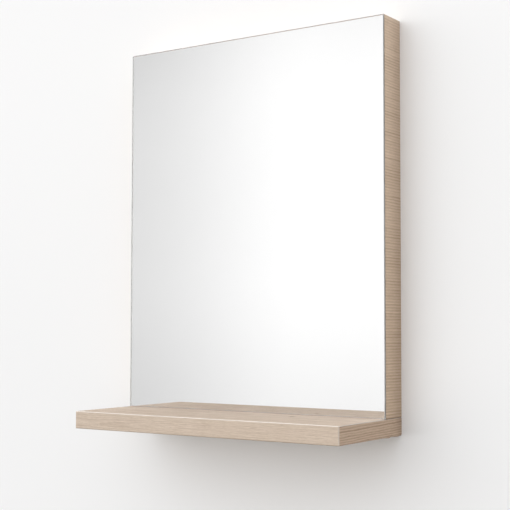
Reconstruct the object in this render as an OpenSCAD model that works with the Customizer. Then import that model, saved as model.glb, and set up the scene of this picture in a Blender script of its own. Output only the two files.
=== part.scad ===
// Wall mirror with a shelf
//
// One sheet of mirror glass is bonded to the front of a shallow box that is open at the back.
// The box stands on a thick shelf board, and both hang on two wall screws in keyhole plates.
//
// X runs across the width and is 0 in the middle.  Y runs into the wall and is 0 on the wall, so
// the front is towards -Y.  Z runs up and is 0 at the underside of the shelf.  All sizes are in mm.

/* [Overall] */
// Width of the mirror, of the box behind it and of the shelf
mirror_w = 500; // [400:10:700]
// Height of the box and its mirror above the shelf
mirror_h = 610; // [450:10:900]
// Depth from the wall to the front of the mirror
box_d = 53; // [44:1:80]

/* [Glass] */
// Thickness of the glass
glass_t = 4; // [3:1:6]
// Width of the small bevel ground along the edges of the glass
arris_w = 0.6; // [0.2:0.1:1]
// Gap under the glass, which hangs on its tape and doesn't stand on the shelf
glass_gap = 0.3; // [0.2:0.1:1.5]

/* [Shelf] */
// How far the shelf stands out in front of the mirror
shelf_projection = 132; // [80:1:200]
// Thickness of the shelf
shelf_t = 28; // [24:1:38]
// Thickness of the edge bands along the front and the ends of the shelf
shelf_band_t = 2; // [1:0.5:3]
// Radius of the eased edges of those bands
shelf_edge_r = 1.5; // [0.5:0.1:2]

/* [Box] */
// Thickness of the side panels and the rails
board_t = 16; // [15:1:22]
// Thickness of the edge bands on the top ends of the side panels
end_band_t = 0.8; // [0.4:0.1:2]
// Thickness of the backing board behind the glass
backing_t = 6; // [5:0.5:8]
// Width of the rebate that the backing board lies in
rebate_w = 8; // [7:0.5:10]
// Gap between the edges of the backing board and its rebate
backing_gap = 0.3; // [0.1:0.1:0.8]

/* [Mirror tape] */
// Thickness of the tape between the backing board and the glass
tape_t = 1; // [0.8:0.1:1.6]
// Width of one strip of tape
tape_w = 25; // [12:1:40]
// Number of strips
tape_count = 5; // [3:1:7]
// Distance from the tape to the edges of the backing board
tape_inset = 25; // [12:1:60]

/* [Hanger plates] */
// Distance from the side of the mirror to the middle of a hanger plate
plate_inset = 60; // [54:1:120]
// Width of a hanger plate
plate_w = 40; // [36:1:50]
// Height of a hanger plate
plate_h = 46; // [42:1:60]
// Thickness of a hanger plate
plate_t = 1.5; // [1:0.1:2.5]
// Radius of its corners
plate_corner_r = 5; // [2:0.5:8]
// Height of the part of it that is let into the rear edge of the top rail
plate_grip = 14; // [12:0.5:14.5]
// Gap around a hanger plate in its recess
plate_gap = 0.3; // [0.1:0.1:0.4]
// Distance between the two screws of a hanger plate
plate_screw_spacing = 26; // [20:1:28]
// Diameter of the round end of the keyhole, where the head of a wall screw goes in
keyhole_d = 10; // [8:0.5:12]
// Width of the slot that the neck of the wall screw slides up
keyhole_slot_w = 5; // [4:0.5:6]
// How far the mirror drops onto its wall screws
keyhole_drop = 12; // [9:1:15]
// Height of the middle of the round end above the lower edge of the plate
keyhole_rise = 10; // [8:0.5:12]

/* [Dowels] */
// Diameter of the wooden dowels
dowel_d = 8; // [6:1:8]
// Length of the wooden dowels
dowel_l = 30; // [24:1:32]
// How deep a dowel goes into the face of a board
dowel_face_depth = 10; // [8:0.5:11]
// Room for glue at each end of a dowel
glue_room = 1; // [0.5:0.1:1.5]

/* [Connector screws] */
// Length of the screws that hold the shelf to the side panels
connector_l = 50; // [45:1:64]
// Diameter of their neck, which passes through the shelf
connector_neck_d = 7; // [6:0.5:7.5]
// Diameter of their core, which goes into the side panels
connector_core_d = 5; // [4:0.5:5.5]
// Diameter of their flat head
connector_head_d = 10; // [9:0.5:12]
// Size across the flats of the hexagon socket in the head
connector_socket = 4; // [3:0.5:5]
// Depth of that socket
connector_socket_depth = 3; // [2:0.5:4]
// Diameter of the caps that hide the heads
cap_d = 13; // [12.5:0.5:15.5]
// Thickness of the caps
cap_t = 1.2; // [0.8:0.1:2]

/* [Wood screws] */
// Length of the screws that hold the backing board
backing_screw_l = 16; // [13:1:20]
// Distance from the corners of the backing board to its first screws
backing_screw_inset = 60; // [40:5:120]
// Length of the screws that hold the hanger plates
plate_screw_l = 20; // [13:1:25]
// Diameter of the wood screws under the head
wood_screw_d = 3; // [2.5:0.5:3.5]
// Diameter of the heads of the wood screws
wood_screw_head_d = 6; // [5.5:0.5:7]

/* [Hidden] */
$fn = 48;

decor = [0.81, 0.74, 0.67];
decor_edge = [0.84, 0.77, 0.70];
brown_board = [0.48, 0.36, 0.26];
silver = [0.88, 0.91, 0.92];
white_foam = [0.93, 0.93, 0.91];
beech = [0.82, 0.66, 0.46];
zinc = [0.74, 0.75, 0.76];

fit_gap = 0.05;        // between a fastener and its hole, all round
overshoot = 1;         // how far a cut runs out of the face that it starts from
screw_rim = 0.4;       // height of the straight rim of a screw head
screw_tip = 3;         // length of a screw's point
dowel_chamfer = 1;
cross_w = 0.8;         // width of the cross recess in a wood screw
cross_depth = 1.4;
cap_bevel = 0.5;       // bevel round a cap
cap_pin_gap = 0.1;     // between a cap's pin and the socket, all round
edge_margin = 2;       // least wood between a dowel and the edge beside it

half_w = mirror_w / 2;
top_z = shelf_t + mirror_h;
panel_d = box_d - glass_t;                  // depth of the box without the glass
shelf_d = box_d + shelf_projection;
inner_half_w = half_w - board_t;            // where the side panels' inner faces are
side_top_z = top_z - end_band_t;
rail_mid_y = -panel_d / 2;

// The backing board covers the opening of the box and one rebate more on each side
backing_w = 2 * (inner_half_w + rebate_w - backing_gap);
backing_bottom_z = shelf_t + board_t - rebate_w + backing_gap;
backing_top_z = top_z - board_t + rebate_w - backing_gap;
backing_front_y = -panel_d + tape_t;
backing_rear_y = backing_front_y + backing_t;

shelf_r = min(shelf_edge_r, shelf_band_t - fit_gap);

// A dowel starts in the end of one board and ends in the face of the other
dowel_end_depth = dowel_l - dowel_face_depth;
dowel_edge = dowel_d / 2 + edge_margin;
front_dowel_y = backing_rear_y + dowel_edge;
rear_dowel_y = -dowel_edge - edge_margin;
shelf_dowel_inset = board_t + 5 * dowel_d;
connector_x = half_w - board_t / 2;

// A hanger plate is let into the top rail at its upper part and hangs down over the open back
top_rail_z = top_z - board_t;
plate_x = half_w - plate_inset;
plate_bottom_z = top_rail_z + plate_grip - plate_h;
keyhole_z = plate_bottom_z + keyhole_rise;

// A block between two opposite corners
module block(low, high) {
    translate(low) cube(high - low);
}

// Repeats its children at the right and, mirrored, at the left
module both_sides() {
    children();
    mirror([1, 0, 0]) children();
}

// A bar with rounded ends, upright in the XY plane, from the origin to a second centre above it
module upright_slot(width, rise) {
    translate([-width / 2, 0]) square([width, rise]);
    for (y = [0, rise])
        translate([0, y]) circle(d = width);
}

// A rectangle with round corners, around the origin
module rounded_rectangle(width, height, radius) {
    square([width - 2 * radius, height], center = true);
    square([width, height - 2 * radius], center = true);
    for (x = [-1, 1], y = [-1, 1])
        translate([x * (width / 2 - radius), y * (height / 2 - radius)]) circle(r = radius);
}

// A rectangle with its corners cut off at 45 degrees, around the origin
module bevelled_rectangle(width, height, bevel) {
    x = width / 2;
    y = height / 2;
    polygon([
        [x, y - bevel], [x - bevel, y], [bevel - x, y], [-x, y - bevel],
        [-x, bevel - y], [bevel - x, -y], [x - bevel, -y], [x, bevel - y]
    ]);
}

// Fasteners point along +Z from the face that they go in at.  With a gap, each is its own hole.
module dowel() {
    rotate_extrude() polygon([
        [0, 0], [dowel_d / 2 - dowel_chamfer, 0], [dowel_d / 2, dowel_chamfer],
        [dowel_d / 2, dowel_l - dowel_chamfer], [dowel_d / 2 - dowel_chamfer, dowel_l], [0, dowel_l]
    ]);
}

module dowel_hole() {
    translate([0, 0, -glue_room]) cylinder(r = dowel_d / 2 + fit_gap, h = dowel_l + 2 * glue_room);
}

module wood_screw_form(length, gap) {
    head_r = wood_screw_head_d / 2 + gap;
    core_r = wood_screw_d / 2 + gap;
    cone_end = screw_rim + head_r - core_r;
    rotate_extrude() polygon([
        [0, 0], [head_r, 0], [head_r, screw_rim], [core_r, cone_end],
        [core_r, length - screw_tip], [0, length + gap]
    ]);
}

module wood_screw(length) {
    difference() {
        wood_screw_form(length, 0);
        for (turn = [0, 90])
            rotate([0, 0, turn])
                block([-wood_screw_d / 2, -cross_w / 2, -overshoot],
                      [wood_screw_d / 2, cross_w / 2, cross_depth]);
    }
}

module connector_form(gap) {
    head_r = connector_head_d / 2 + gap;
    neck_r = connector_neck_d / 2 + gap;
    core_r = connector_core_d / 2 + gap;
    neck_end = shelf_t - (neck_r - core_r);
    rotate_extrude() polygon([
        [0, 0], [head_r, 0], [head_r, screw_rim], [neck_r, screw_rim + head_r - neck_r],
        [neck_r, neck_end], [core_r, shelf_t], [core_r, connector_l - screw_tip],
        [0, connector_l + gap]
    ]);
}

module hexagon(across_flats, height) {
    linear_extrude(height) circle(d = across_flats / cos(30), $fn = 6);
}

module connector_screw() {
    difference() {
        connector_form(0);
        translate([0, 0, -overshoot]) hexagon(connector_socket, connector_socket_depth + overshoot);
    }
}

// A low cap below the shelf, with a pin that is pushed into the hexagon socket
module screw_cap() {
    rotate_extrude() polygon([
        [0, -cap_t], [cap_d / 2 - cap_bevel, -cap_t], [cap_d / 2, cap_bevel - cap_t],
        [cap_d / 2, 0], [0, 0]
    ]);
    hexagon(connector_socket - 2 * cap_pin_gap, connector_socket_depth - cap_pin_gap);
}

// Where the fasteners sit
module at_dowels() {
    both_sides() translate([inner_half_w - dowel_end_depth, 0, 0]) {
        for (y = [front_dowel_y, rear_dowel_y])
            translate([0, y, top_z - board_t / 2]) rotate([0, 90, 0]) children();
        translate([0, rail_mid_y, shelf_t + board_t / 2]) rotate([0, 90, 0]) children();
    }
    for (x = [-1, 0, 1])
        translate([x * (inner_half_w - shelf_dowel_inset), rail_mid_y, shelf_t - dowel_end_depth])
            children();
}

module at_connectors() {
    both_sides()
        for (y = [front_dowel_y, rear_dowel_y])
            translate([connector_x, y, 0]) children();
}

module at_backing_screws() {
    side_x = inner_half_w + rebate_w / 2;
    low_z = shelf_t + board_t - rebate_w / 2;
    high_z = top_rail_z + rebate_w / 2;
    translate([0, backing_front_y, 0]) {
        both_sides() {
            for (z = [low_z + backing_screw_inset, (low_z + high_z) / 2,
                      high_z - backing_screw_inset])
                translate([side_x, 0, z]) rotate([-90, 0, 0]) children();
            for (z = [low_z, high_z])
                translate([side_x - backing_screw_inset, 0, z]) rotate([-90, 0, 0]) children();
        }
    }
}

module at_plate_screws() {
    both_sides()
        for (x = [-1, 1])
            translate([plate_x + x * plate_screw_spacing / 2, 0, top_rail_z + plate_grip / 2])
                rotate([90, 0, 0]) children();
}

// Every hole for a fastener, cut from each piece that it passes through
module drilled() {
    difference() {
        children();
        at_dowels() dowel_hole();
        at_connectors() connector_form(fit_gap);
        at_backing_screws() wood_screw_form(backing_screw_l, fit_gap);
        at_plate_screws() wood_screw_form(plate_screw_l, fit_gap);
    }
}

// The step round the front of the box that takes the backing board and its tape
module rebated() {
    difference() {
        children();
        block([-backing_w / 2 - backing_gap, -panel_d - overshoot, backing_bottom_z - backing_gap],
              [backing_w / 2 + backing_gap, backing_rear_y, backing_top_z + backing_gap]);
    }
}

module mirror_glass() {
    bottom_z = shelf_t + glass_gap;
    glass_h = top_z - bottom_z;
    color(silver) translate([0, -box_d + glass_t / 2, bottom_z + glass_h / 2]) intersection() {
        linear_extrude(glass_h, center = true) bevelled_rectangle(mirror_w, glass_t, arris_w);
        rotate([0, 90, 0]) linear_extrude(mirror_w, center = true)
            bevelled_rectangle(glass_h, glass_t, arris_w);
    }
}

module tape_strips() {
    first_x = backing_w / 2 - tape_inset - tape_w / 2;
    color(white_foam)
        for (i = [0 : tape_count - 1])
            translate([first_x * (2 * i / (tape_count - 1) - 1), 0, 0])
                block([-tape_w / 2, -panel_d, backing_bottom_z + tape_inset],
                      [tape_w / 2, backing_front_y, backing_top_z - tape_inset]);
}

module backing_board() {
    color(brown_board) drilled()
        block([-backing_w / 2, backing_front_y, backing_bottom_z],
              [backing_w / 2, backing_rear_y, backing_top_z]);
}

module side_panel() {
    drilled() rebated()
        block([inner_half_w, -panel_d, shelf_t], [half_w, 0, side_top_z]);
}

module top_band() {
    block([inner_half_w, -panel_d, side_top_z], [half_w, 0, top_z]);
}

module left_side_panel() {
    color(decor) mirror([1, 0, 0]) side_panel();
}

module right_side_panel() {
    color(decor) side_panel();
}

module left_top_band() {
    color(decor_edge) mirror([1, 0, 0]) top_band();
}

module right_top_band() {
    color(decor_edge) top_band();
}

module rail(low_z) {
    drilled() rebated()
        block([-inner_half_w, -panel_d, low_z], [inner_half_w, 0, low_z + board_t]);
}

// The hanger plates lie flush in its rear edge
module top_rail() {
    color(decor) difference() {
        rail(top_rail_z);
        both_sides() plate_form(plate_t + overshoot, plate_gap);
    }
}

module bottom_rail() {
    color(decor) rail(shelf_t);
}

// The whole shelf with its eased edges, from which the board and its bands are cut
module shelf_outline() {
    intersection() {
        translate([0, 0, shelf_t / 2]) rotate([90, 0, 0]) linear_extrude(shelf_d)
            rounded_rectangle(mirror_w, shelf_t, shelf_r);
        translate([0, -shelf_d / 2, shelf_t / 2]) rotate([90, 0, 90])
            linear_extrude(mirror_w, center = true)
                translate([shelf_band_t / 2, 0])
                    rounded_rectangle(shelf_d + shelf_band_t, shelf_t, shelf_r);
        translate([0, (shelf_band_t - shelf_d) / 2, 0]) linear_extrude(shelf_t)
            rounded_rectangle(mirror_w, shelf_d + shelf_band_t, shelf_r);
    }
}

module shelf_board() {
    color(decor) drilled()
        block([shelf_band_t - half_w, shelf_band_t - shelf_d, 0],
              [half_w - shelf_band_t, 0, shelf_t]);
}

module shelf_front_band() {
    color(decor_edge) intersection() {
        shelf_outline();
        block([-half_w, -shelf_d, 0], [half_w, shelf_band_t - shelf_d, shelf_t]);
    }
}

module shelf_end_band() {
    intersection() {
        shelf_outline();
        block([half_w - shelf_band_t, shelf_band_t - shelf_d, 0], [half_w, 0, shelf_t]);
    }
}

module shelf_left_band() {
    color(decor_edge) mirror([1, 0, 0]) shelf_end_band();
}

module shelf_right_band() {
    color(decor_edge) shelf_end_band();
}

module dowels() {
    color(beech) at_dowels() dowel();
}

module shelf_screws() {
    color(zinc) at_connectors() connector_screw();
}

module screw_caps() {
    color(decor_edge) at_connectors() screw_cap();
}

module backing_screws() {
    color(zinc) at_backing_screws() wood_screw(backing_screw_l);
}

// The outline of the right hanger plate, from its inner face to a given height
module plate_form(height, gap) {
    translate([plate_x, height - plate_t, plate_bottom_z + plate_h / 2]) rotate([90, 0, 0])
        linear_extrude(height)
            rounded_rectangle(plate_w + 2 * gap, plate_h + 2 * gap, plate_corner_r + gap);
}

// A steel plate with a keyhole, its slot above the round hole that lets the screw head in
module hanger_plate() {
    drilled() difference() {
        plate_form(plate_t, 0);
        translate([plate_x, overshoot, keyhole_z]) rotate([90, 0, 0]) {
            cylinder(d = keyhole_d, h = plate_t + 2 * overshoot);
            linear_extrude(plate_t + 2 * overshoot) upright_slot(keyhole_slot_w, keyhole_drop);
        }
    }
}

module left_hanger_plate() {
    color(zinc) mirror([1, 0, 0]) hanger_plate();
}

module right_hanger_plate() {
    color(zinc) hanger_plate();
}

module hanger_screws() {
    color(zinc) at_plate_screws() wood_screw(plate_screw_l);
}

mirror_glass();
tape_strips();
backing_board();
left_side_panel();
right_side_panel();
left_top_band();
right_top_band();
top_rail();
bottom_rail();
shelf_board();
shelf_front_band();
shelf_left_band();
shelf_right_band();
dowels();
shelf_screws();
screw_caps();
backing_screws();
left_hanger_plate();
right_hanger_plate();
hanger_screws();
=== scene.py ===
"""A wall mirror with a shelf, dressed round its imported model.

Lengths are in metres, in the model's own frame: X runs across the width and is 0 in the middle, Y runs
into the wall and is 0 on the wall, and Z runs up and is 0 at the underside of the shelf.
"""

from math import radians, sin, tau

import bmesh
import bpy
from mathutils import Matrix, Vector


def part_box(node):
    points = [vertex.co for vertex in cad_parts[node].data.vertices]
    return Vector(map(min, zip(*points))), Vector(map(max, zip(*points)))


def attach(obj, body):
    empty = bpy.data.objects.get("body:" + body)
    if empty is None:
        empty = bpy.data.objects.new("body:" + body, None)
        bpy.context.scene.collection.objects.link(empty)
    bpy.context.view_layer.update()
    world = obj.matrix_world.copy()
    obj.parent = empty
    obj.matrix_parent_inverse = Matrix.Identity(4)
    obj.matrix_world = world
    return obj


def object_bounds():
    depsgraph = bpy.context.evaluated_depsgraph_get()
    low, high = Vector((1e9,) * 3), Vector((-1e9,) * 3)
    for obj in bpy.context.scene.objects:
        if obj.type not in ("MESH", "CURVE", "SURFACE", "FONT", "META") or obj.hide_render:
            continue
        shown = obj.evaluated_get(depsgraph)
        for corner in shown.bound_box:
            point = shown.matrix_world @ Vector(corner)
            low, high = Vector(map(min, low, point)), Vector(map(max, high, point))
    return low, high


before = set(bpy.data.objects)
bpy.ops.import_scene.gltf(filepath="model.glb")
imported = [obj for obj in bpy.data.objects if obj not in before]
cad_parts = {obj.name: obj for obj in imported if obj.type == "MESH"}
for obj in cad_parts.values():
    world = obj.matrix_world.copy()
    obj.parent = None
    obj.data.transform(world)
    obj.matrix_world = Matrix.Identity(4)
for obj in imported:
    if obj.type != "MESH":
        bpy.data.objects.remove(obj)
cad_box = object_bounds()

MM = 0.001
SHELF_FRONT_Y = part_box("shelf_front_band")[0].y
SHELF_TOP_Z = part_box("shelf_board")[1].z
PANEL_FRONT_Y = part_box("right_side_panel")[0].y
MIRROR_FRONT_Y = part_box("mirror_glass")[0].y


# ---------------------------------------------------------------- shader nodes


def colour(red, green, blue):
    """A colour, in linear light."""
    return (red, green, blue, 1.0)


def scaled(tint, by):
    """A colour made so many times as bright."""
    return colour(*(by * part for part in tint[:3]))


def sine(degrees):
    return sin(radians(degrees))


class Shader:
    """The node tree of a material or a world."""

    def __init__(self, owner):
        owner.use_nodes = True
        self.tree = owner.node_tree
        self.tree.nodes.clear()

    def fill(self, socket, value):
        """Links a socket to another one, or sets its value. None leaves it as it is."""
        if isinstance(value, bpy.types.NodeSocket):
            self.tree.links.new(value, socket)
        elif value is not None:
            socket.default_value = value

    def node(self, kind, *numbered, **named):
        """A new node. Values fill its sockets in order, or by a name with a capital. A name without one
        is a setting of the node."""
        made = self.tree.nodes.new("ShaderNode" + kind)
        for name, value in named.items():
            if name[0].islower():
                setattr(made, name, value)
        for number, value in enumerate(numbered):
            self.fill(made.inputs[number], value)
        for name, value in named.items():
            if name[0].isupper():
                self.fill(made.inputs[name.replace("_", " ")], value)
        return made

    def math(self, operation, *values):
        return self.node("Math", *values, operation=operation).outputs[0]

    def hypotenuse(self, first, second):
        squares = [self.math("MULTIPLY", side, side) for side in (first, second)]
        return self.math("SQRT", self.math("ADD", *squares))

    def parts(self, vector):
        """The X, Y and Z of a vector."""
        return self.node("SeparateXYZ", vector).outputs

    def place(self):
        """Where a point lies, in the model's frame."""
        return self.node("TexCoord").outputs["Object"]

    def facing(self):
        """The X, Y and Z of where a face looks."""
        return self.parts(self.node("NewGeometry").outputs["True Normal"])

    def noise(self, place, size, detail=3.0, rough=0.5):
        """Noise between 0 and 1, with spots of about this size."""
        counted = self.node("VectorMath", place, operation="SCALE", Scale=1 / size).outputs[0]
        return self.node("TexNoise", Vector=counted, Scale=1.0, Detail=detail, Roughness=rough).outputs[0]

    def streaks(self, along, across, spot, seed, detail=3.0, rough=0.5):
        """Noise between 0 and 1, with spots of this length and width. Each seed has noise of its own."""
        length, width = spot
        counted = (self.math("DIVIDE", along, length), self.math("DIVIDE", across, width), seed)
        return self.noise(self.node("CombineXYZ", *counted).outputs[0], 1.0, detail, rough)

    def ramp(self, value, low, high, to_low=0.0, to_high=1.0, smooth=True):
        """Maps low..high to to_low..to_high, and stays there outside."""
        kind = "SMOOTHSTEP" if smooth else "LINEAR"
        return self.node("MapRange", value, low, high, to_low, to_high, interpolation_type=kind).outputs[0]

    def mix(self, share, first, second):
        """Mixes two colours, which are sockets 6 and 7 of the node."""
        made = self.node("Mix", share, data_type="RGBA")
        self.fill(made.inputs[6], first)
        self.fill(made.inputs[7], second)
        return made.outputs[2]

    def blend(self, share, first, second):
        """Mixes two numbers."""
        return self.node("Mix", share, None, first, second, data_type="FLOAT").outputs[0]

    def bump(self, height, depth):
        """A normal for a height of 0 to 1 that stands for so many metres."""
        return self.node("Bump", Height=height, Distance=depth, Strength=1.0).outputs[0]

    def surface(self, **inputs):
        """Ends the material with one Principled shader."""
        principled = self.node("BsdfPrincipled", **inputs)
        self.node("OutputMaterial", Surface=principled.outputs[0])


def new_material(name):
    """A material, and its node tree."""
    made = bpy.data.materials.new(name)
    return made, Shader(made)


# ---------------------------------------------------------------- the figure of oak

# How long and how wide the spots of each part of the figure are
WAVE_SPOT = (160 * MM, 30 * MM)
RIPPLE_SPOT = (30 * MM, 8 * MM)
CLOUD_LENGTH = 220 * MM
STREAK_SPOT = (110 * MM, 4.5 * MM)
FIBRE_SPOT = (28 * MM, 1.5 * MM)
HAIR_SPOT = (9 * MM, 0.9 * MM)
PORE_SPOT = (6 * MM, 0.5 * MM)

RIPPLE_SHARE = 0.22            # how far the ripple wanders, as a share of the wave
LATE_LEAST = 0.4               # how dark the palest ring is, as a share of the darkest
LATE_MEAN = 0.3                # how dark the rings are on average

# How each board is cut from its log. The heart of the log is a place along and across the board, and its
# depth below that place changes with the slant. A ring is as wide as ring and wanders by wave, and a cloud
# is as wide as band. The rest says how much each part of the figure darkens the wood.
USUAL_CUT = dict(ring=4.4 * MM, wave=2.5 * MM, band=35 * MM,
                 late=0.35, cloud=0.2, streak=0.5, fibre=0.9, hair=0.7)
SHELF_CUT = dict(USUAL_CUT, seed=1.0, heart=(50 * MM, -90 * MM), depth=30 * MM, slant=0.035,
                 band=13 * MM, cloud=0.8, streak=0.9, fibre=1.2, hair=1.0)
FRONT_CUT = dict(USUAL_CUT, seed=41.0, heart=(100 * MM, 11 * MM), depth=0.0, slant=0.018,
                 ring=2.4 * MM, wave=3 * MM, late=0.4, streak=0.25, fibre=1.3, hair=0.9)
END_CUT = dict(USUAL_CUT, seed=81.0, heart=(-500 * MM, 60 * MM), depth=30 * MM, slant=0.02,
               ring=2.8 * MM, wave=1.8 * MM, late=1.15, hair=0.8)
TOP_BAND_CUT = dict(USUAL_CUT, seed=201.0, heart=(-300 * MM, 0.0), depth=0.0, slant=0.12,
                    ring=2.6 * MM, late=0.6)
SIDE_CUT = dict(USUAL_CUT, seed=121.0, heart=(-600 * MM, -800 * MM), depth=100 * MM, slant=0.05,
                wave=1.2 * MM, late=0.7, streak=0.6, fibre=0.8)
RAIL_CUT = dict(USUAL_CUT, seed=161.0, heart=(100 * MM, -100 * MM), depth=40 * MM, slant=0.03)


def drift(s, along, across, spot, seed, reach):
    """A length that wanders between about -reach and +reach."""
    wander = s.streaks(along, across, spot, seed, 2.0)
    return s.math("MULTIPLY", s.math("SUBTRACT", wander, 0.5), 4 * reach)


def oak_figure(s, along, across, cut):
    """The figure of a sawn oak board: how dark each place is, and how deep its pores are, both 0 to 1.

    The rings are cut at a slant, so that they open into long arches near the heart of the board.
    """
    seed = cut["seed"]
    wave = drift(s, along, across, WAVE_SPOT, seed, cut["wave"])
    ripple = drift(s, along, across, RIPPLE_SPOT, seed + 3, RIPPLE_SHARE * cut["wave"])
    away = s.math("SUBTRACT", along, cut["heart"][0])
    aside = s.math("ADD", s.math("SUBTRACT", across, cut["heart"][1]), ripple)
    depth = s.math("ADD", s.math("MULTIPLY_ADD", away, cut["slant"], cut["depth"]), wave)
    rings = s.math("DIVIDE", s.hypotenuse(aside, depth), cut["ring"])
    phase = s.math("FRACT", rings)

    # A ring darkens slowly and pales at once, and each is as dark as it happens to be
    own = s.node("TexWhiteNoise", W=s.math("FLOOR", rings), noise_dimensions="1D").outputs[0]
    late = s.math("MULTIPLY", s.ramp(phase, 0.2, 0.85), s.ramp(phase, 1.0, 0.88))
    late = s.math("MULTIPLY", late, s.math("MULTIPLY_ADD", own, 1 - LATE_LEAST, LATE_LEAST))

    # The fine grain follows the wave of the rings. All these parts are 0.5 on average
    bent = s.math("ADD", across, s.math("MULTIPLY", wave, 0.5))
    parts = {"cloud": s.streaks(along, across, (CLOUD_LENGTH, cut["band"]), seed + 7, 2.0),
             "streak": s.streaks(along, bent, STREAK_SPOT, seed + 11, 3.0, 0.6),
             "fibre": s.streaks(along, bent, FIBRE_SPOT, seed + 13, 2.0, 0.65),
             "hair": s.streaks(along, bent, HAIR_SPOT, seed + 15, 2.0, 0.6)}
    balance = 0.5 - sum(cut[name] for name in parts) / 2 - LATE_MEAN * cut["late"]
    dark = s.math("MULTIPLY_ADD", late, cut["late"], balance)
    for name, part in parts.items():
        dark = s.math("MULTIPLY_ADD", part, cut[name], dark)

    # The pores are deepest where a ring begins
    pore = s.ramp(s.streaks(along, across, PORE_SPOT, seed + 17, 1.0), 0.6, 0.74)
    return dark, s.math("MULTIPLY", pore, s.ramp(phase, 0.75, 0.1, 0.25, 1.0))


KNOT_CORE, KNOT_RIM = 1.5 * MM, 5 * MM    # how far it is darkest, and where it ends
KNOT_NEAR, KNOT_FAR = 2 * MM, 22 * MM     # how far the grain is bent most, and where it is straight again
KNOT_SHAPE = 0.7                          # how wide it is, as a share of its length along the grain
KNOT_DARKNESS = 0.85
KNOT_BEND = 0.8                           # how far the grain parts, as a share of the way to the knot


def knot_at(s, along, across, centre):
    """A small knot: the place across the board, bent so that the grain parts there, and how dark it is."""
    off = s.math("SUBTRACT", across, centre[1])
    shortened = s.math("MULTIPLY", s.math("SUBTRACT", along, centre[0]), KNOT_SHAPE)
    reach = s.hypotenuse(shortened, off)
    bend = s.math("MULTIPLY", off, s.ramp(reach, KNOT_NEAR, KNOT_FAR, KNOT_BEND, 0.0))
    return s.math("SUBTRACT", across, bend), s.ramp(reach, KNOT_CORE, KNOT_RIM, KNOT_DARKNESS, 0.0)


# ---------------------------------------------------------------- oak decor on chipboard

# The pale and the dark wood of each kind of piece. All are the same decor: the shelf's is a paler copy,
# painted light, and the ends' and the sides' are darker copies, painted shade
SHELF_WOOD_LIT = (colour(0.80, 0.68, 0.575), colour(0.50, 0.392, 0.304))
FRONT_WOOD = (colour(0.712, 0.594, 0.487), colour(0.495, 0.388, 0.298))
END_WOOD_SHADED = (colour(0.60, 0.447, 0.33), colour(0.35, 0.24, 0.16))
SIDE_WOOD_SHADED = (colour(0.788, 0.614, 0.466), colour(0.485, 0.348, 0.236))
RAIL_WOOD = (colour(0.75, 0.615, 0.495), colour(0.47, 0.362, 0.268))

KNOT = colour(0.22, 0.14, 0.09)
# Eased edges: the upper ones paler, partly wear and partly a painted highlight, and those facing down
# darker, painted shade
WORN_AND_LIT_EDGE = colour(0.82, 0.79, 0.76)
LOWER_EDGE_SHADE = colour(0.30, 0.20, 0.13)
# The colour of painted shade, in the joints under the side panels and towards the wall
PAINTED_SHADE = colour(0.14, 0.09, 0.06)
STRAW = colour(0.60, 0.43, 0.25)
DARK_STRAW = colour(0.25, 0.15, 0.08)
CHIP_GAP = colour(0.12, 0.07, 0.04)

CHIPS_PER_METRE = 520.0
SWIRLS_PER_METRE = 160.0
SWIRL_SHIFT = (4 * MM,) * 3
CHIP_FIBRE = 0.7 * MM

SQUARE, EASED = 0.995, 0.95    # the largest part of a face's direction, where it is square and where eased
JOINT_NEAR, JOINT_FAR = 0.3 * MM, 1.3 * MM    # how far from a joint the painted shade is darkest, and where that ends
# How dark the painted shade is in the joint under the side panels and at the wall
JOINT_SHADE, REAR_SHADE = 0.72, 0.24
PORE_SHARE = 0.45              # how much of a pore shows
PORE_LEVEL = 0.55              # its brightness, as a share of the dark wood's
PORE_ROUGHNESS = 0.15          # what it adds to the roughness
WORN_AND_LIT_SHARE, LOWER_SHADE_SHARE = 0.45, 0.4           # how much an eased edge takes on its colour: wear and a painted highlight above, painted shade below
WORN_COAT, WORN_ROUGHNESS = 0.75, 0.18        # the gloss of the worn ones
DECOR_RELIEF = 0.05 * MM
FIGURE_RELIEF, RAW_RELIEF = 0.3, 4.0          # how many times as deep the figure and the raw chipboard are
RAW_ROUGHNESS = 0.9


def chips(s, place):
    """The cut edge of a chipboard: its colour, and how high each place stands, 0 to 1.

    A swirl stretches the fine grain here and there, so that it has no one direction.
    """
    swirl = s.node("TexNoise", Vector=place, Scale=SWIRLS_PER_METRE).outputs["Color"]
    torn = s.node("VectorMath", place, swirl, SWIRL_SHIFT, operation="MULTIPLY_ADD").outputs[0]
    fine = s.noise(torn, CHIP_FIBRE, 4.0, 0.6)
    chip = s.node("TexVoronoi", Vector=place, Scale=CHIPS_PER_METRE).outputs
    own = s.node("SeparateColor", chip["Color"]).outputs[0]
    shade = s.math("MULTIPLY_ADD", fine, 0.5, s.math("MULTIPLY", own, 0.6))
    straw = s.mix(s.ramp(shade, 0.25, 0.8), STRAW, DARK_STRAW)
    gap = s.math("MULTIPLY", s.ramp(chip["Distance"], 0.45, 0.8), 0.55)
    return s.mix(gap, straw, CHIP_GAP), fine


def eased_edges(s):
    """Two masks for the eased edges of a board, which face between two axes: the worn ones, which carry
    wear and a painted highlight, and of which the upright ones count half as much as the upper ones; and
    those that face down, which carry painted shade."""
    facing = s.facing()
    x, y, z = (s.math("ABSOLUTE", part) for part in facing)
    turned = s.ramp(s.math("MAXIMUM", s.math("MAXIMUM", x, y), z), SQUARE, EASED)
    shaded_lower = s.math("MULTIPLY", turned, s.ramp(facing[2], -0.1, -0.3))
    worn = s.math("SUBTRACT", turned, shaded_lower)
    return s.math("MULTIPLY", worn, s.ramp(facing[2], 0.1, 0.3, 0.5, 1.0)), shaded_lower


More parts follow.
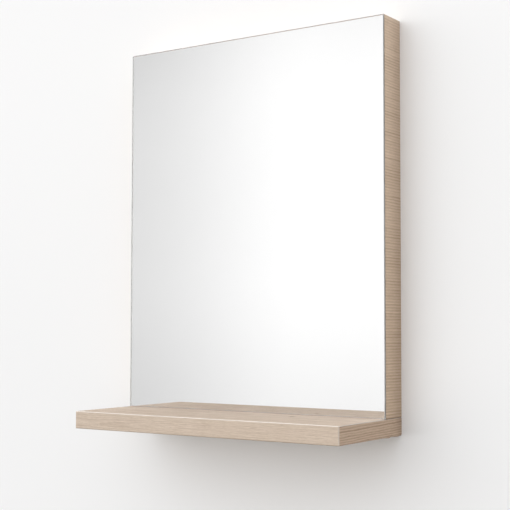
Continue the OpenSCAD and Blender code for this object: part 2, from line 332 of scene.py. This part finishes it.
def painted_shade(s, axes, depth):
    """How much painted shade darkens the ends: most in the joint under the side panels, as a painted
    shadow line, and less towards the wall, where less light reaches, from this depth in front of it."""
    above = s.math("ABSOLUTE", s.math("SUBTRACT", axes["Z"], SHELF_TOP_Z))
    under_panel = s.math("GREATER_THAN", axes["Y"], PANEL_FRONT_Y)
    joint = s.math("MULTIPLY", s.ramp(above, JOINT_NEAR, JOINT_FAR, JOINT_SHADE, 0.0), under_panel)
    return s.math("MAXIMUM", joint, s.ramp(axes["Y"], -depth, 0.0, 0.0, REAR_SHADE))


def oak(name, grain, cut, wood, roughness=0.46, specular=0.2, raw_rear=False, shade_depth=None, knot=None,
        painted_light=None):
    """Oak decor with eased edges.

    The grain names the axes along and across it. With raw_rear, what faces the wall is raw chipboard. The
    depth given for painted shade is how far in front of the wall that painted shade begins. A knot is a
    place along and across the grain. The painted light is given as an axis, the places on it where the
    decor is darkest and palest, and by how much: light and shade painted along that axis.
    """
    made, s = new_material(name)
    place = s.place()
    axes = dict(zip("XYZ", s.parts(place)))
    along, across = axes[grain[0]], axes[grain[1]]
    if knot:
        across, knot_dark = knot_at(s, along, across, knot)
    shade, pore = oak_figure(s, along, across, cut)
    # Painted light and shade, darker at one end of an axis and paler at the other
    if painted_light:
        axis, darkest, palest, amount = painted_light
        shade = s.math("ADD", shade, s.ramp(axes[axis], darkest, palest, amount, -amount, smooth=False))

    pale, dark = wood
    tint = s.mix(s.ramp(shade, 0.0, 1.0, smooth=False), pale, dark)
    tint = s.mix(s.math("MULTIPLY", pore, PORE_SHARE), tint, scaled(dark, PORE_LEVEL))
    if knot:
        on_top = s.math("GREATER_THAN", axes["Z"], SHELF_TOP_Z / 2)
        tint = s.mix(s.math("MULTIPLY", knot_dark, on_top), tint, KNOT)
    height = s.math("SUBTRACT", s.math("MULTIPLY", shade, FIGURE_RELIEF), pore)
    rough = s.math("MULTIPLY_ADD", pore, PORE_ROUGHNESS, roughness)
    if raw_rear:
        raw = s.math("GREATER_THAN", s.facing()[1], 0.7)
        raw_tint, raw_height = chips(s, place)
        tint = s.mix(raw, tint, raw_tint)
        height = s.blend(raw, height, s.math("MULTIPLY", raw_height, RAW_RELIEF))
        rough = s.blend(raw, rough, RAW_ROUGHNESS)

    worn, shaded_lower = eased_edges(s)
    # Upper eased edges get wear and a painted highlight, and those facing down get painted shade
    tint = s.mix(s.math("MULTIPLY", worn, WORN_AND_LIT_SHARE), tint, WORN_AND_LIT_EDGE)
    tint = s.mix(s.math("MULTIPLY", shaded_lower, LOWER_SHADE_SHARE), tint, LOWER_EDGE_SHADE)
    # Painted shade: a shadow line in the joint under the side panels, and darker towards the wall
    if shade_depth:
        tint = s.mix(painted_shade(s, axes, shade_depth), tint, PAINTED_SHADE)
    s.surface(Base_Color=tint, Roughness=rough, Specular_IOR_Level=specular,
              Coat_Weight=s.math("MULTIPLY", worn, WORN_COAT), Coat_Roughness=WORN_ROUGHNESS,
              Normal=s.bump(height, DECOR_RELIEF))
    return made


# ---------------------------------------------------------------- the other materials


def fibreboard():
    """Brown board with felted fibres and the weave of its press screen."""
    weave_pitch = 1.8 * MM
    made, s = new_material("fibreboard")
    place = s.place()
    parts = s.parts(place)
    mottle = s.noise(place, 25 * MM)
    fibres = s.streaks(parts[0], parts[2], (5 * MM, 1.2 * MM), 3.0, 4.0, 0.65)
    shade = s.math("MULTIPLY_ADD", fibres, 0.85, s.math("MULTIPLY", mottle, 0.15))
    tint = s.mix(s.ramp(shade, 0.3, 0.72), colour(0.38, 0.255, 0.16), colour(0.23, 0.145, 0.085))
    waves = [s.math("SINE", s.math("MULTIPLY", parts[i], tau / weave_pitch)) for i in (0, 2)]
    height = s.math("ADD", s.math("MULTIPLY", s.math("MULTIPLY", *waves), 0.5), fibres)
    s.surface(Base_Color=tint, Roughness=0.72, Normal=s.bump(height, 0.15 * MM))
    return made


def zinc_plate():
    """Bright zinc on rolled steel: soft cloudy patches and faint rolling marks, which run upright."""
    made, s = new_material("zinc_plate")
    place = s.place()
    parts = s.parts(place)
    cloud = s.noise(place, 4 * MM)
    marks = s.streaks(parts[2], parts[0], (12 * MM, 0.15 * MM), 5.0, 2.0)
    shade = s.math("MULTIPLY_ADD", marks, 0.35, s.math("MULTIPLY", cloud, 0.65))
    tint = s.mix(s.ramp(shade, 0.25, 0.75), colour(0.72, 0.73, 0.74), colour(0.54, 0.55, 0.57))
    s.surface(Base_Color=tint, Metallic=1.0, Roughness=s.ramp(shade, 0.2, 0.8, 0.26, 0.42),
              Normal=s.bump(marks, 0.01 * MM))
    return made


def ground_glass():
    """Clear float glass with its edges and their small bevels ground matt.

    The ground glass is painted brownish below, a painted reflection of the shelf it lies over, and painted
    bluish above.
    """
    made, s = new_material("ground_glass")
    facing = s.facing()
    ground = s.math("LESS_THAN", s.math("ABSOLUTE", facing[1]), 0.95)
    grit = s.noise(s.place(), 0.25 * MM, 3.0, 0.6)
    matt = s.mix(grit, colour(0.93, 0.95, 0.94), colour(0.86, 0.89, 0.87))
    # Painted reflection of the shelf on the faces that look down, and a painted bluish tint on those that
    # look up
    matt = s.mix(s.ramp(facing[2], -0.3, -0.6), matt, colour(0.82, 0.56, 0.45))
    matt = s.mix(s.ramp(facing[2], 0.3, 0.6), matt, colour(0.80, 0.90, 0.98))
    tint = s.mix(ground, colour(0.992, 0.995, 0.991), matt)
    rough = s.math("MULTIPLY", ground, s.math("MULTIPLY_ADD", grit, 0.2, 0.4))
    let_through = s.math("SUBTRACT", 1.0, s.math("MULTIPLY", ground, 0.15))
    s.surface(Base_Color=tint, Roughness=rough, IOR=1.52, Transmission_Weight=let_through)
    return made


def silver():
    """The silver behind the glass, with next to no haze."""
    made, s = new_material("silver")
    haze = s.noise(s.place(), 60 * MM, 4.0)
    tint = s.mix(haze, colour(0.885, 0.882, 0.885), colour(0.87, 0.867, 0.87))
    s.surface(Base_Color=tint, Metallic=1.0, Roughness=0.0)
    return made


def back_paint():
    """The grey paint that seals the silver."""
    made, s = new_material("back_paint")
    orange_peel = s.noise(s.place(), 1.5 * MM)
    tint = s.mix(orange_peel, colour(0.24, 0.26, 0.27), colour(0.19, 0.21, 0.22))
    s.surface(Base_Color=tint, Roughness=0.5, Normal=s.bump(orange_peel, 0.02 * MM))
    return made


def foam_tape():
    """White foam tape, with the cells of the foam in its edges."""
    cell = 0.4 * MM
    made, s = new_material("foam_tape")
    depth = s.node("TexVoronoi", Vector=s.place(), Scale=1 / cell).outputs["Distance"]
    tint = s.mix(s.ramp(depth, 0.2, 0.7), colour(0.88, 0.88, 0.86), colour(0.74, 0.74, 0.72))
    s.surface(Base_Color=tint, Roughness=0.85, Normal=s.bump(depth, 0.08 * MM))
    return made


def beech():
    """Plain beech along X, with its short dark flecks."""
    made, s = new_material("beech")
    x, y, z = s.parts(s.place())
    around = s.math("ADD", y, z)
    grain = s.streaks(x, around, (15 * MM, 0.8 * MM), 2.0)
    fleck = s.ramp(s.streaks(x, around, (1.6 * MM, 0.35 * MM), 8.0, 1.0), 0.62, 0.72)
    tint = s.mix(grain, colour(0.68, 0.50, 0.32), colour(0.52, 0.35, 0.20))
    tint = s.mix(s.math("MULTIPLY", fleck, 0.5), tint, colour(0.30, 0.18, 0.10))
    s.surface(Base_Color=tint, Roughness=0.6, Normal=s.bump(grain, 0.05 * MM))
    return made


def cap_plastic():
    """Moulded caps in the colour of the decor, with a fine stipple."""
    made, s = new_material("cap_plastic")
    stipple = s.noise(s.place(), 0.5 * MM, 2.0)
    tint = s.mix(stipple, colour(0.63, 0.52, 0.43), colour(0.57, 0.46, 0.37))
    s.surface(Base_Color=tint, Roughness=s.ramp(stipple, 0.3, 0.7, 0.42, 0.55),
              Normal=s.bump(stipple, 0.03 * MM))
    return made


# ---------------------------------------------------------------- which piece wears what

KNOT_PLACE = (107 * MM, -86 * MM)

# Painted light and shade: the shelf pales from its front edge to the mirror, and the sides from the bottom
# up
SHELF_PAINTED_LIGHT = ("Y", SHELF_FRONT_Y, MIRROR_FRONT_Y - 2 * MM, 0.13)
SIDE_PAINTED_LIGHT = ("Z", 0.0, 640 * MM, 0.21)

# How far in front of the wall the painted shade of the shelf's ends and of the sides begins
END_SHADE_DEPTH, SIDE_SHADE_DEPTH = 22 * MM, 46 * MM


def dress(material, *names):
    """Gives CAD nodes their material."""
    for name in names:
        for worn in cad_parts[name].material_slots:
            worn.material = material


dress(oak("shelf_oak", "XY", SHELF_CUT, SHELF_WOOD_LIT, roughness=0.6, specular=0.0, raw_rear=True,
          knot=KNOT_PLACE, painted_light=SHELF_PAINTED_LIGHT),
      "shelf_board")
dress(oak("front_band_oak", "XZ", FRONT_CUT, FRONT_WOOD), "shelf_front_band")
dress(oak("end_band_oak", "YZ", END_CUT, END_WOOD_SHADED, shade_depth=END_SHADE_DEPTH),
      "shelf_left_band", "shelf_right_band")
dress(oak("top_band_oak", "YX", TOP_BAND_CUT, RAIL_WOOD), "left_top_band", "right_top_band")
dress(oak("side_oak", "YZ", SIDE_CUT, SIDE_WOOD_SHADED, raw_rear=True, shade_depth=SIDE_SHADE_DEPTH, painted_light=SIDE_PAINTED_LIGHT),
      "left_side_panel", "right_side_panel")
dress(oak("rail_oak", "XY", RAIL_CUT, RAIL_WOOD, raw_rear=True), "top_rail", "bottom_rail")
dress(fibreboard(), "backing_board")
dress(foam_tape(), "tape_strips")
dress(beech(), "dowels")
dress(cap_plastic(), "screw_caps")
dress(zinc_plate(), "shelf_screws", "backing_screws", "left_hanger_plate", "right_hanger_plate",
      "hanger_screws")
dress(ground_glass(), "mirror_glass")


# ---------------------------------------------------------------- the silver behind the glass

SILVER_INSIDE = 0.55 * MM      # from the back of the glass, past its bevels, so that it reaches the edges
SILVER_THICKNESS = 0.08 * MM
SILVER_MARGIN = 0.15 * MM      # from the edge of the glass to the edge of the silver


def silver_coat():
    """The silver and its paint, as one thin sheet: silver in front, and paint on its other faces."""
    low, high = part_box("mirror_glass")
    left, right = low.x + SILVER_MARGIN, high.x - SILVER_MARGIN
    bottom, top = low.z + SILVER_MARGIN, high.z - SILVER_MARGIN
    front_y = high.y - SILVER_INSIDE
    shape = bmesh.new()
    front, back = ([shape.verts.new((x, y, z))
                    for x, z in ((left, bottom), (right, bottom), (right, top), (left, top))]
                   for y in (front_y, front_y + SILVER_THICKNESS))
    shape.faces.new(front)
    painted = [shape.faces.new(reversed(back))]
    for i in range(4):
        after = (i + 1) % 4
        painted.append(shape.faces.new((front[i], back[i], back[after], front[after])))
    for face in painted:
        face.material_index = 1
    bmesh.ops.recalc_face_normals(shape, faces=shape.faces)
    mesh = bpy.data.meshes.new("silver_coat")
    shape.to_mesh(mesh)
    shape.free()
    mesh.materials.append(silver())
    mesh.materials.append(back_paint())
    made = bpy.data.objects.new("silver_coat", mesh)
    bpy.context.scene.collection.objects.link(made)
    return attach(made, "root")


silver_coat()


# ---------------------------------------------------------------- wall and floor

WALL_REACH = 4.0
WALL_TOP_Z = 3.5
FLOOR_Z = -1.3
WALL_PAINT = colour(0.93, 0.93, 0.93)
FLOOR_PAINT = colour(0.71, 0.70, 0.68)
LOW_Z, LOW_SHADE_LEVEL = -0.2, 0.97     # painted shade: the paint is a little darker up to this height
HIGH_Z, HIGH_LIGHT_LEVEL = 0.8, 1.02    # and painted light: a little paler from this one up


def stage_paint(name, tint):
    """Matt paint that is clear from behind, so that the back of the mirror shows through the wall. Painted
    shade darkens it low down, and painted light makes it paler high up.
    """
    made, s = new_material(name)
    place = s.place()
    rise = s.ramp(s.parts(place)[2], LOW_Z, HIGH_Z)
    paint = s.node("BsdfPrincipled", Roughness=0.9, Specular_IOR_Level=0.2,
                   Base_Color=s.mix(rise, scaled(tint, LOW_SHADE_LEVEL), scaled(tint, HIGH_LIGHT_LEVEL)),
                   Normal=s.bump(s.noise(place, 2 * MM), 0.02 * MM))
    clear = s.node("BsdfTransparent")
    behind = s.node("NewGeometry").outputs["Backfacing"]
    either = s.node("MixShader", behind, paint.outputs[0], clear.outputs[0])
    s.node("OutputMaterial", Surface=either.outputs[0])
    return made


def stage_sheet(name, material, faces):
    """A part of the studio, from four-cornered faces."""
    mesh = bpy.data.meshes.new(name)
    points = [corner for face in faces for corner in face]
    mesh.from_pydata(points, [], [tuple(range(4 * i, 4 * i + 4)) for i in range(len(faces))])
    mesh.materials.append(material)
    made = bpy.data.objects.new(name, mesh)
    bpy.context.scene.collection.objects.link(made)
    return made


def wall_faces():
    """The wall, in the plane of the model's back, with an opening exactly where the model covers it."""
    left, right = cad_box[0].x, cad_box[1].x
    bottom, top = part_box("shelf_board")[0].z, cad_box[1].z
    spans = ((-WALL_REACH, FLOOR_Z, left, WALL_TOP_Z), (right, FLOOR_Z, WALL_REACH, WALL_TOP_Z),
             (left, FLOOR_Z, right, bottom), (left, top, right, WALL_TOP_Z))
    return [((x0, 0, z0), (x1, 0, z0), (x1, 0, z1), (x0, 0, z1)) for x0, z0, x1, z1 in spans]


def floor_face():
    """The floor, which reaches behind the wall, and twice as far in front of it."""
    front, back = -2 * WALL_REACH, WALL_REACH
    corners = ((-WALL_REACH, front), (WALL_REACH, front), (WALL_REACH, back), (-WALL_REACH, back))
    return [(x, y, FLOOR_Z) for x, y in corners]


stage_sheet("wall", stage_paint("wall_paint", WALL_PAINT), wall_faces())
floor = stage_sheet("floor", stage_paint("floor_paint", FLOOR_PAINT), [floor_face()])
floor.visible_diffuse = False    # all light from below is the world's


# ---------------------------------------------------------------- light

# The soft light on matt surfaces. A height here is the sine of an angle above the horizon, and a pair of
# values is what holds up to the first of a pair of heights and from the second one up
LIGHT_LEVEL = 1.84
LIGHT_FROM_LEFT = 0.96         # how much more comes from -X, and less from +X
LEFT_SHARES = (1.35, 0.5)      # how many times that
LEFT_HEIGHTS = (0.0, 0.6)
LIGHT_SHARES = (0.12, 1.0)     # how much of the light there is, from below and from above
LIGHT_HEIGHTS = (-0.46, 0.19)
LIGHT_OVERHEAD = 0.6           # how much of it is left straight above
LIGHT_TINTS = (colour(1.0, 0.975, 0.945), colour(0.986, 1.0, 1.02))
TINT_HEIGHTS = (-0.3, 0.6)

# The glow that the mirror, the glass and gloss see, in pairs too, but in degrees: a turn is an angle off
# the Y axis, and a rise is one above the horizon
GLOW_AHEAD = 1.18
GLOW_ASIDE = (0.845, 0.755)
ASIDE_RISES = (8.0, 16.0)
GLOW_TURNS = (32.5, 43.2)      # ahead reaches up to the first turn, and aside begins at the second
BAND_RISE = 6.5                # the glow is brightest in a level band at this rise
BAND_SHARES = (1.0, 0.87)
BAND_REACH = (4.0, 13.0)
CEILING_GLOWS = (0.0, 2.8)     # what a bright ceiling adds, by heights as above
CEILING_HEIGHTS = (0.6, 0.78)

BACKDROP_LEVEL = 0.93          # what the camera sees past the wall


def soft_light(s, x, z):
    """How much light comes from each direction: little from below, and more from the left, above all
    near the horizon."""
    left = s.math("MULTIPLY", x, s.ramp(z, *LEFT_HEIGHTS, *LEFT_SHARES))
    light = s.math("MULTIPLY_ADD", left, -LIGHT_FROM_LEFT, LIGHT_LEVEL)
    light = s.math("MULTIPLY", light, s.ramp(z, *LIGHT_HEIGHTS, *LIGHT_SHARES))
    return s.math("MULTIPLY", light, s.ramp(z, 0.0, 1.0, 1.0, LIGHT_OVERHEAD, smooth=False))


def studio_glow(s, x, z):
    """What a mirror sees in each direction: white ahead, soft grey aside, and a bright ceiling."""
    level_part = s.math("SQRT", s.math("SUBTRACT", 1.0, s.math("MULTIPLY", z, z)))
    turn = s.math("DIVIDE", s.math("ABSOLUTE", x), level_part)
    aside = s.ramp(z, *map(sine, ASIDE_RISES), *GLOW_ASIDE)
    glow = s.ramp(turn, *map(sine, GLOW_TURNS), GLOW_AHEAD, aside)
    off_band = s.math("ABSOLUTE", s.math("SUBTRACT", z, sine(BAND_RISE)))
    band = s.ramp(off_band, *map(sine, BAND_REACH), *BAND_SHARES)
    return s.math("ADD", s.math("MULTIPLY", glow, band), s.ramp(z, *CEILING_HEIGHTS, *CEILING_GLOWS))


def studio_world():
    """The light of the studio. Gloss sees the glow instead, and the camera a plain pale backdrop."""
    world = bpy.data.worlds.new("studio")
    bpy.context.scene.world = world
    s = Shader(world)
    x, _, z = s.parts(s.node("TexCoord").outputs["Generated"])
    path = s.node("LightPath").outputs
    camera_ray = path["Is Camera Ray"]
    gloss_ray = s.math("MAXIMUM", path["Is Glossy Ray"], path["Is Transmission Ray"])
    gloss_ray = s.math("MULTIPLY", gloss_ray, s.math("LESS_THAN", path["Diffuse Depth"], 0.5))
    level = s.blend(gloss_ray, soft_light(s, x, z), studio_glow(s, x, z))
    level = s.blend(camera_ray, level, BACKDROP_LEVEL)
    tint = s.mix(s.ramp(z, *TINT_HEIGHTS), *LIGHT_TINTS)
    tint = s.mix(s.math("MAXIMUM", gloss_ray, camera_ray), tint, colour(1, 1, 1))
    s.node("OutputWorld", Surface=s.node("Background", Color=tint, Strength=level).outputs[0])


def lamp(name, place, target, size, power):
    """A soft lamp that shines at a target."""
    data = bpy.data.lights.new(name, "AREA")
    data.shape = "RECTANGLE"
    data.size, data.size_y = size
    data.energy = power
    made = bpy.data.objects.new(name, data)
    bpy.context.scene.collection.objects.link(made)
    made.location = place
    made.rotation_euler = (Vector(target) - Vector(place)).to_track_quat("-Z", "Y").to_euler()


studio_world()
# This one stands behind the wall, and lights only the back of the mirror
lamp("rear_key", place=(0.9, 2.0, 1.7), target=(0, 0, 0.3), size=(1.6, 1.2), power=18)


# ---------------------------------------------------------------- camera

CAMERA_PLACE = (1.0678, -1.5412, 0.1697)
CAMERA_TURN = 33.30            # degrees from +Y towards -X
CAMERA_RISE = 2.96             # degrees above the horizon
CAMERA_SENSOR = 36             # mm
CAMERA_LENS = 80.09            # mm
CAMERA_SHIFT = (-0.078, 0.020)    # in widths of the picture

camera = bpy.data.objects.new("camera", bpy.data.cameras.new("camera"))
bpy.context.scene.collection.objects.link(camera)
camera.data.sensor_width = CAMERA_SENSOR
camera.data.lens = CAMERA_LENS
camera.data.shift_x, camera.data.shift_y = CAMERA_SHIFT
camera.location = CAMERA_PLACE
camera.rotation_euler = (radians(90 + CAMERA_RISE), 0, radians(CAMERA_TURN))
bpy.context.scene.camera = camera
bpy.context.scene.view_settings.view_transform = "Standard"
